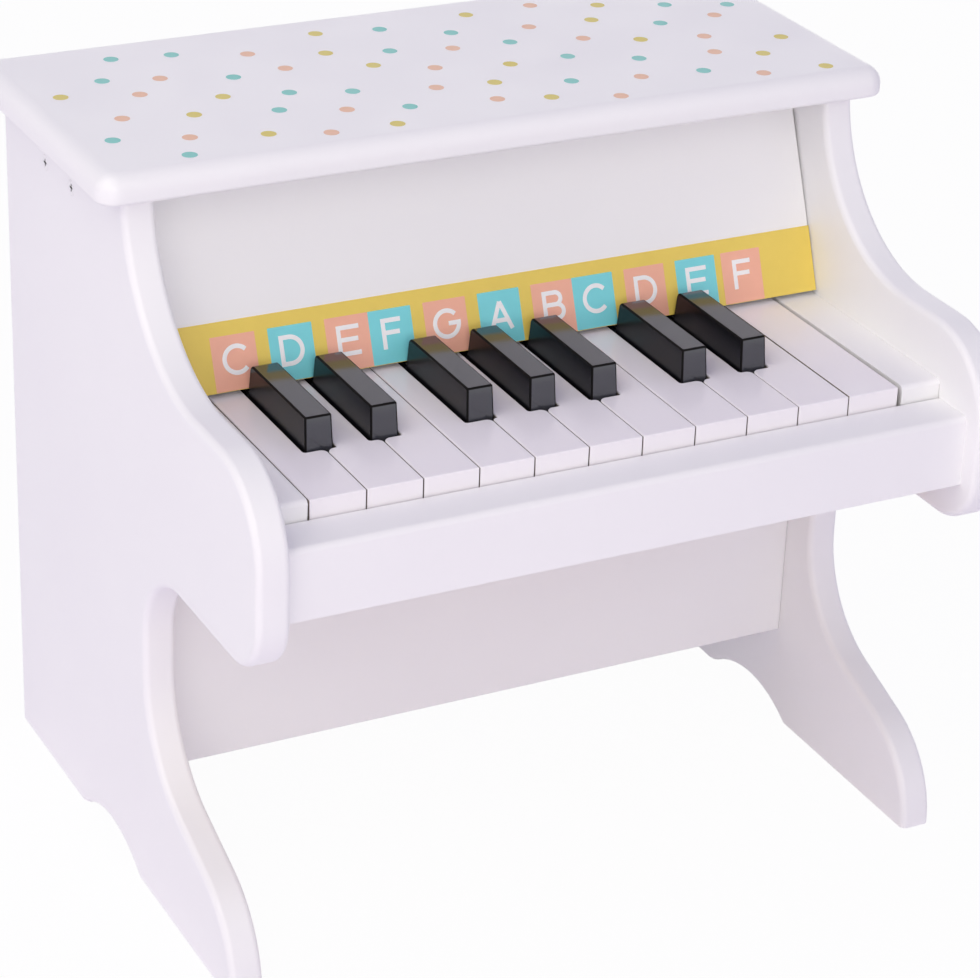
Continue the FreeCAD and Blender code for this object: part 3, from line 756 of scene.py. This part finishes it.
class TOYPIANO_OT_panels(bpy.types.Operator):
    """Make the panels, the key slip and the key blocks"""

    bl_idname = "toypiano.panels"
    bl_label = "Panels, slip and blocks"

    def execute(self, context):
        boards = context.scene.toypiano_boards
        pieces = {node: merged_copy(node, name) for node, name in PANELS.items()}
        self.ease_panel_end(pieces["upper_front_panel"], boards)
        self.shift_block_wall(pieces["left_key_block"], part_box("left_key_block")[1].x, boards.left_gap)
        self.shift_block_wall(pieces["right_key_block"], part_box("right_key_block")[0].x, boards.block_gap)
        edges = {"left_key_block": boards.block_edge, "right_key_block": boards.block_edge, "key_slip": 0.0}
        for node, piece in pieces.items():
            soften(coat(piece, finish_of(satin_lacquer)), edges.get(node, boards.edge))
            hand_over(piece, stands_for=[node])
        return {"FINISHED"}

    def ease_panel_end(self, panel, boards):
        """Leaves the upper panel's right end a gap that widens towards the lid."""
        low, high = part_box("upper_front_panel")
        level = 0.5 * (low.z + high.z)
        end = high.x - END_REACH
        move_points(panel, lambda spot: spot.x > end and spot.z > level, (-boards.end_gap_top, 0.0, 0.0))
        move_points(panel, lambda spot: spot.x > end and spot.z < level, (-boards.end_gap_foot, 0.0, 0.0))

    def shift_block_wall(self, block, wall, shift):
        """Moves a block's wall beside the keys to the right."""
        move_points(block, lambda spot: abs(spot.x - wall) < END_REACH, (shift, 0.0, 0.0))


class TOYPIANO_OT_strip(bpy.types.Operator):
    """Make the note strip with its squares and letters"""

    bl_idname = "toypiano.strip"
    bl_label = "Note strip"

    def execute(self, context):
        prints = context.scene.toypiano_prints
        strip = coat(merged_copy("note_strip", "strip_paper"), print_finish("strip_ink", prints.band))
        hand_over(soften(strip, PAPER_EDGE), stands_for=["note_strip"])
        start_clean()
        sides = (prints.square_width, prints.square_height, prints.print_lift)
        bpy.ops.mesh.primitive_cube_add(size=1.0, scale=sides)
        square = context.active_object
        bpy.ops.object.transform_apply(location=True, rotation=True, scale=True)
        bpy.ops.object.mode_set(mode="EDIT")
        bpy.ops.mesh.select_mode(type="EDGE")
        bpy.ops.mesh.select_all(action="DESELECT")
        bpy.ops.object.mode_set(mode="OBJECT")
        for edge in square.data.edges:
            ends = [square.data.vertices[index].co for index in edge.vertices]
            edge.select = abs(ends[0].z - ends[1].z) > 0.5 * prints.print_lift
        bpy.ops.object.mode_set(mode="EDIT")
        bpy.ops.mesh.bevel(offset=prints.square_corner, segments=EDGE_SEGMENTS)
        bpy.ops.object.mode_set(mode="OBJECT")
        squares, letters = {tone: [] for tone in SQUARE_TONES}, []
        for index, (note, middle) in enumerate(zip(WHITE_NOTES, note_middles(prints))):
            plate = own_copy(square, f"square_{note}")
            height = prints.square_foot + 0.5 * prints.square_height
            lay_on_strip(plate, middle, height, SQUARE_SINK * prints.print_lift)
            squares[SQUARE_TONES[index % len(SQUARE_TONES)]].append(plate)
            letter = drawn_letter(note[0].upper(), prints.letter_height, prints.letter_stroke)
            letter.scale = (1.0, 1.0, 2.0 * prints.print_lift / prints.letter_stroke)
            pick(letter)
            bpy.ops.object.transform_apply(location=True, rotation=True, scale=True)
            lay_on_strip(letter, middle, prints.letter_foot, LETTER_SINK * prints.print_lift)
            letters.append(letter)
        bpy.data.objects.remove(square)
        for tone, plates in squares.items():
            sheet = joined(plates, f"note_squares_{tone}")
            hand_over(coat(sheet, print_finish(f"square_ink_{tone}", getattr(prints, tone))))
        hand_over(coat(joined(letters, "note_letters"), print_finish("letter_ink", prints.letter)))
        return {"FINISHED"}


class TOYPIANO_OT_white_keys(bpy.types.Operator):
    """Make the white keys"""

    bl_idname = "toypiano.white_keys"
    bl_label = "White keys"

    def execute(self, context):
        keys = context.scene.toypiano_keys
        for note in WHITE_NOTES:
            node = f"white_key_{note}"
            key = coat(merged_copy(node, f"white_{note}"), finish_of(white_key_lacquer), finish_of(painted_gap_shade))
            # The left and right faces take the painted gap shade.
            coat_flanks(key)
            hand_over(soften(key, keys.white_edge, reaches_front, 0), node, [node])
        return {"FINISHED"}


class TOYPIANO_OT_black_keys(bpy.types.Operator):
    """Make the black keys"""

    bl_idname = "toypiano.black_keys"
    bl_label = "Black keys"

    def execute(self, context):
        keys = context.scene.toypiano_keys
        for note in BLACK_NOTES:
            node = f"black_key_{note}"
            key = coat(merged_copy(node, f"black_{note}"), finish_of(black_key_lacquer),
                       finish_of(painted_shade_black_side), finish_of(painted_shade_black_rim))
            coat_flanks(key)
            # The rounded edges take the third finish, the painted dark outline.
            hand_over(soften(key, keys.black_edge, reaches_front, 2), node, [node])
        return {"FINISHED"}


class TOYPIANO_OT_screws(bpy.types.Operator):
    """Make the screws"""

    bl_idname = "toypiano.screws"
    bl_label = "Screws"

    def execute(self, context):
        screws = coat(merged_copy("wood_screws", "screws"), finish_of(painted_screw), finish_of(drawn_steel))
        low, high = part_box("wood_screws")
        for face in screws.data.polygons:
            depth = min(face.center.x - low.x, high.x - face.center.x, high.y - face.center.y)
            face.material_index = 0 if depth < HEAD_SKIN else 1
        hand_over(soften(screws, 0.0), stands_for=["wood_screws"])
        return {"FINISHED"}


class TOYPIANO_OT_action(bpy.types.Operator):
    """Finish the key bed, rails, hammers and tone rods inside"""

    bl_idname = "toypiano.action"
    bl_label = "Action inside"

    def execute(self, context):
        wooden = ("key_bed", "front_key_rail", "rear_key_rail", "tone_beam", "back_cleats")
        finishes = {node: sanded_wood for node in wooden}
        steel = ("key_pivot_rod", "key_guide_pins", "hammer_pivot_rod", "tone_rods")
        finishes |= {node: drawn_steel for node in steel}
        finishes |= {f"hammer_{note}": moulded_plastic for note in (*WHITE_NOTES, *BLACK_NOTES)}
        finishes |= {"hammer_spacers": moulded_plastic, "key_felts": wool_felt, "tone_block": painted_iron}
        for node, maker in finishes.items():
            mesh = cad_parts[node].data
            mesh.materials.clear()
            mesh.materials.append(finish_of(maker))
        return {"FINISHED"}


class TOYPIANO_OT_stage(bpy.types.Operator):
    """Set the floor, the light and the camera"""

    bl_idname = "toypiano.stage"
    bl_label = "Stage"

    def execute(self, context):
        stage = context.scene.toypiano_stage
        self.make_floor(context, stage)
        self.make_light(context, stage)
        self.make_camera(context, stage)
        context.scene.view_settings.view_transform = "Standard"
        return {"FINISHED"}

    def seen(self, graph):
        """1 for the camera and for what shows in gloss or glass, 0 for light that falls on the object."""
        path = [graph.node("ShaderNodeLightPath", output=name)
                for name in ("Is Camera Ray", "Is Glossy Ray", "Is Transmission Ray")]
        return path[0] | path[1] | path[2]

    def make_floor(self, context, stage):
        start_clean()
        bpy.ops.mesh.primitive_circle_add(vertices=FLOOR_SIDES, radius=stage.floor_reach, fill_type="NGON")
        ground = context.active_object
        ground.name = "floor"
        material = bpy.data.materials.new("floor")
        material.use_nodes = True
        graph = Graph(material.node_tree)
        material.node_tree.nodes.clear()
        paper = graph.node("ShaderNodeBsdfDiffuse", {}, {"Color": solid_colour(stage.floor)})
        white = graph.node("ShaderNodeEmission", {}, {"Color": (1.0, 1.0, 1.0, 1.0), "Strength": 1.0})
        shown = graph.node("ShaderNodeMixShader", {}, {0: self.seen(graph) * stage.floor_glow, 1: paper, 2: white})
        output = material.node_tree.nodes.new("ShaderNodeOutputMaterial")
        graph.feed(output.inputs["Surface"], shown)
        ground.data.materials.append(material)
        ground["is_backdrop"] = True

    def make_light(self, context, stage):
        world = bpy.data.worlds.new("room")
        world.use_nodes = True
        graph = Graph(world.node_tree)
        world.node_tree.nodes.clear()
        spot = graph.node("ShaderNodeTexCoord", output="Generated")
        height = graph.node("ShaderNodeSeparateXYZ", {}, {0: spot}, "Z")
        tone = graph.mix(graph.spread(height, low=HORIZON, high=1.0), stage.sky_side, stage.sky_top)
        room = graph.node("ShaderNodeBackground", {}, {"Color": tone, "Strength": 1.0})
        white = graph.node("ShaderNodeBackground", {}, {"Color": (1.0, 1.0, 1.0, 1.0), "Strength": 1.0})
        shown = graph.node("ShaderNodeMixShader", {}, {0: self.seen(graph), 1: room, 2: white})
        output = world.node_tree.nodes.new("ShaderNodeOutputWorld")
        graph.feed(output.inputs["Surface"], shown)
        context.scene.world = world
        middle = (Vector(cad_box[0]) + Vector(cad_box[1])) * 0.5
        for name, place, watts in (("left_lamp", stage.left_place, stage.left_power),
                                   ("front_lamp", stage.front_place, stage.front_power),
                                   ("back_lamp", stage.back_place, stage.back_power)):
            lamp = bpy.data.lights.new(name, "AREA")
            lamp.shape = "SQUARE"
            lamp.size = stage.lamp_size
            lamp.energy = watts
            lamp.color = stage.lamp_tint
            holder = bpy.data.objects.new(name, lamp)
            holder.location = place
            holder.rotation_euler = (middle - Vector(place)).to_track_quat("-Z", "Y").to_euler()
            holder.visible_camera = False
            context.scene.collection.objects.link(holder)

    def make_camera(self, context, stage):
        lens = bpy.data.cameras.new("camera")
        lens.sensor_width = SENSOR_WIDTH
        lens.lens = stage.focal_pixels * SENSOR_WIDTH / PHOTO_WIDTH
        lens.shift_x = (0.5 * PHOTO_WIDTH - stage.centre_x) / PHOTO_WIDTH
        lens.shift_y = (stage.centre_y - 0.5 * PHOTO_HEIGHT) / PHOTO_WIDTH
        ahead = Vector((-math.sin(stage.camera_turn) * math.cos(stage.camera_tilt),
                        math.cos(stage.camera_turn) * math.cos(stage.camera_tilt), -math.sin(stage.camera_tilt)))
        level = ahead.cross(Vector((0.0, 0.0, 1.0))).normalized()
        upright = level.cross(ahead)
        right = level * math.cos(stage.camera_roll) + upright * math.sin(stage.camera_roll)
        up = upright * math.cos(stage.camera_roll) - level * math.sin(stage.camera_roll)
        turn = Matrix((right, up, -ahead)).transposed().to_4x4()
        turn.translation = stage.camera_place
        camera = bpy.data.objects.new("camera", lens)
        camera.matrix_world = turn
        context.scene.collection.objects.link(camera)
        context.scene.camera = camera


class TOYPIANO_PT_maker(bpy.types.Panel):
    """The steps that dress the toy piano"""

    bl_idname = "TOYPIANO_PT_maker"
    bl_label = "Toy piano"
    bl_space_type = "VIEW_3D"
    bl_region_type = "UI"
    bl_category = "Toy piano"

    def draw(self, context):
        for step in STEPS:
            self.layout.operator(step.bl_idname)


STEPS = (TOYPIANO_OT_side_boards, TOYPIANO_OT_lid, TOYPIANO_OT_panels, TOYPIANO_OT_strip, TOYPIANO_OT_white_keys,
         TOYPIANO_OT_black_keys, TOYPIANO_OT_screws, TOYPIANO_OT_action, TOYPIANO_OT_stage)
SETTINGS = {"toypiano_boards": BoardSettings, "toypiano_keys": KeySettings, "toypiano_prints": PrintSettings,
            "toypiano_stage": StageSettings}


def register():
    for made in (*SETTINGS.values(), *STEPS, TOYPIANO_PT_maker):
        bpy.utils.register_class(made)
    for name, group in SETTINGS.items():
        setattr(bpy.types.Scene, name, PointerProperty(type=group))


def unregister():
    for name in SETTINGS:
        delattr(bpy.types.Scene, name)
    for made in (TOYPIANO_PT_maker, *reversed(STEPS), *reversed(SETTINGS.values())):
        bpy.utils.unregister_class(made)


def main():
    register()
    bpy.ops.toypiano.side_boards()
    bpy.ops.toypiano.lid()
    bpy.ops.toypiano.panels()
    bpy.ops.toypiano.strip()
    bpy.ops.toypiano.white_keys()
    bpy.ops.toypiano.black_keys()
    bpy.ops.toypiano.screws()
    bpy.ops.toypiano.action()
    bpy.ops.toypiano.stage()
    bpy.context.view_layer.update()
    boxes = {"cad": cad_box, "visual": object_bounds()}
    rounded = {name: [[round(side, 6) for side in corner] for corner in box] for name, box in boxes.items()}


if __name__ == "__main__":
    main()
